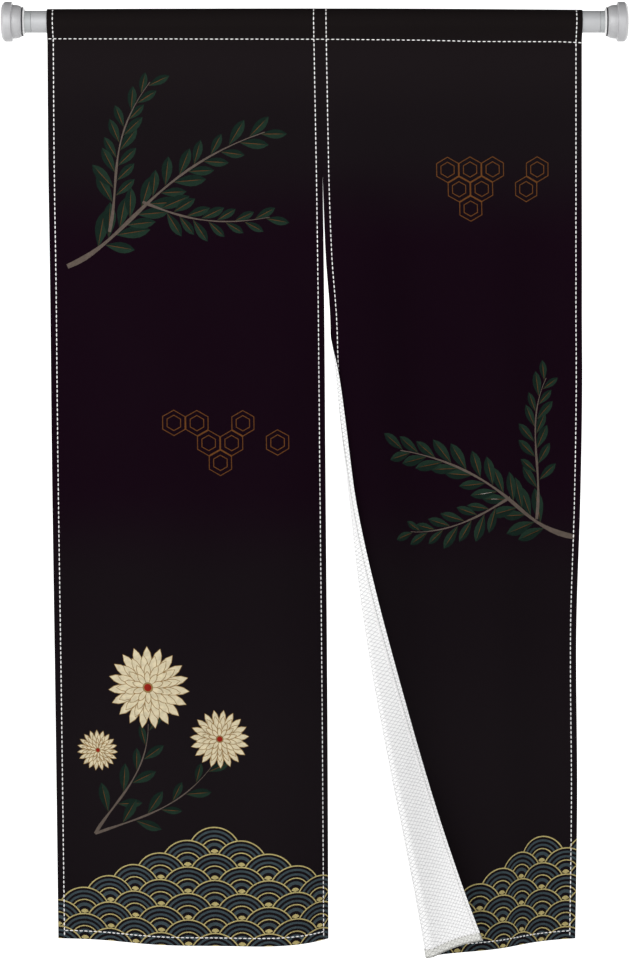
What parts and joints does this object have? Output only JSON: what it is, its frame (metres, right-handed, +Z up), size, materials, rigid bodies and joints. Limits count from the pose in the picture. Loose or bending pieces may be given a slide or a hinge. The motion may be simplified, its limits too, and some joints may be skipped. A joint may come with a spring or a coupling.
{
  "type": "noren curtain on a tension rod",
  "caption": "Split doorway curtain of black cloth that hangs by a sewn pocket on a tension rod, its right panel's lower corner turned over to the front.",
  "frame": {"origin": "middle of the left end cap's wall face, on the rod's axis", "axes": "+X along the rod to the right end cap, +Y away from the viewer of the printed face, +Z up"},
  "size_m": [1.005, 0.1997, 1.5107],
  "materials": {
    "cloth": "plain woven polyester, black printed face and white back",
    "rod": "satin white enamel",
    "sleeve": "satin",
    "ring": "matt",
    "cap": "satin moulded"
  },
  "bodies": {
    "root": {"panel_left": "cloth", "panel_right": "cloth", "rod": "rod", "sleeve_left": "sleeve", "sleeve_right": "sleeve", "ring_left": "ring", "ring_right": "ring", "cap_left": "cap", "cap_right": "cap"}
  },
  "joints": []
}
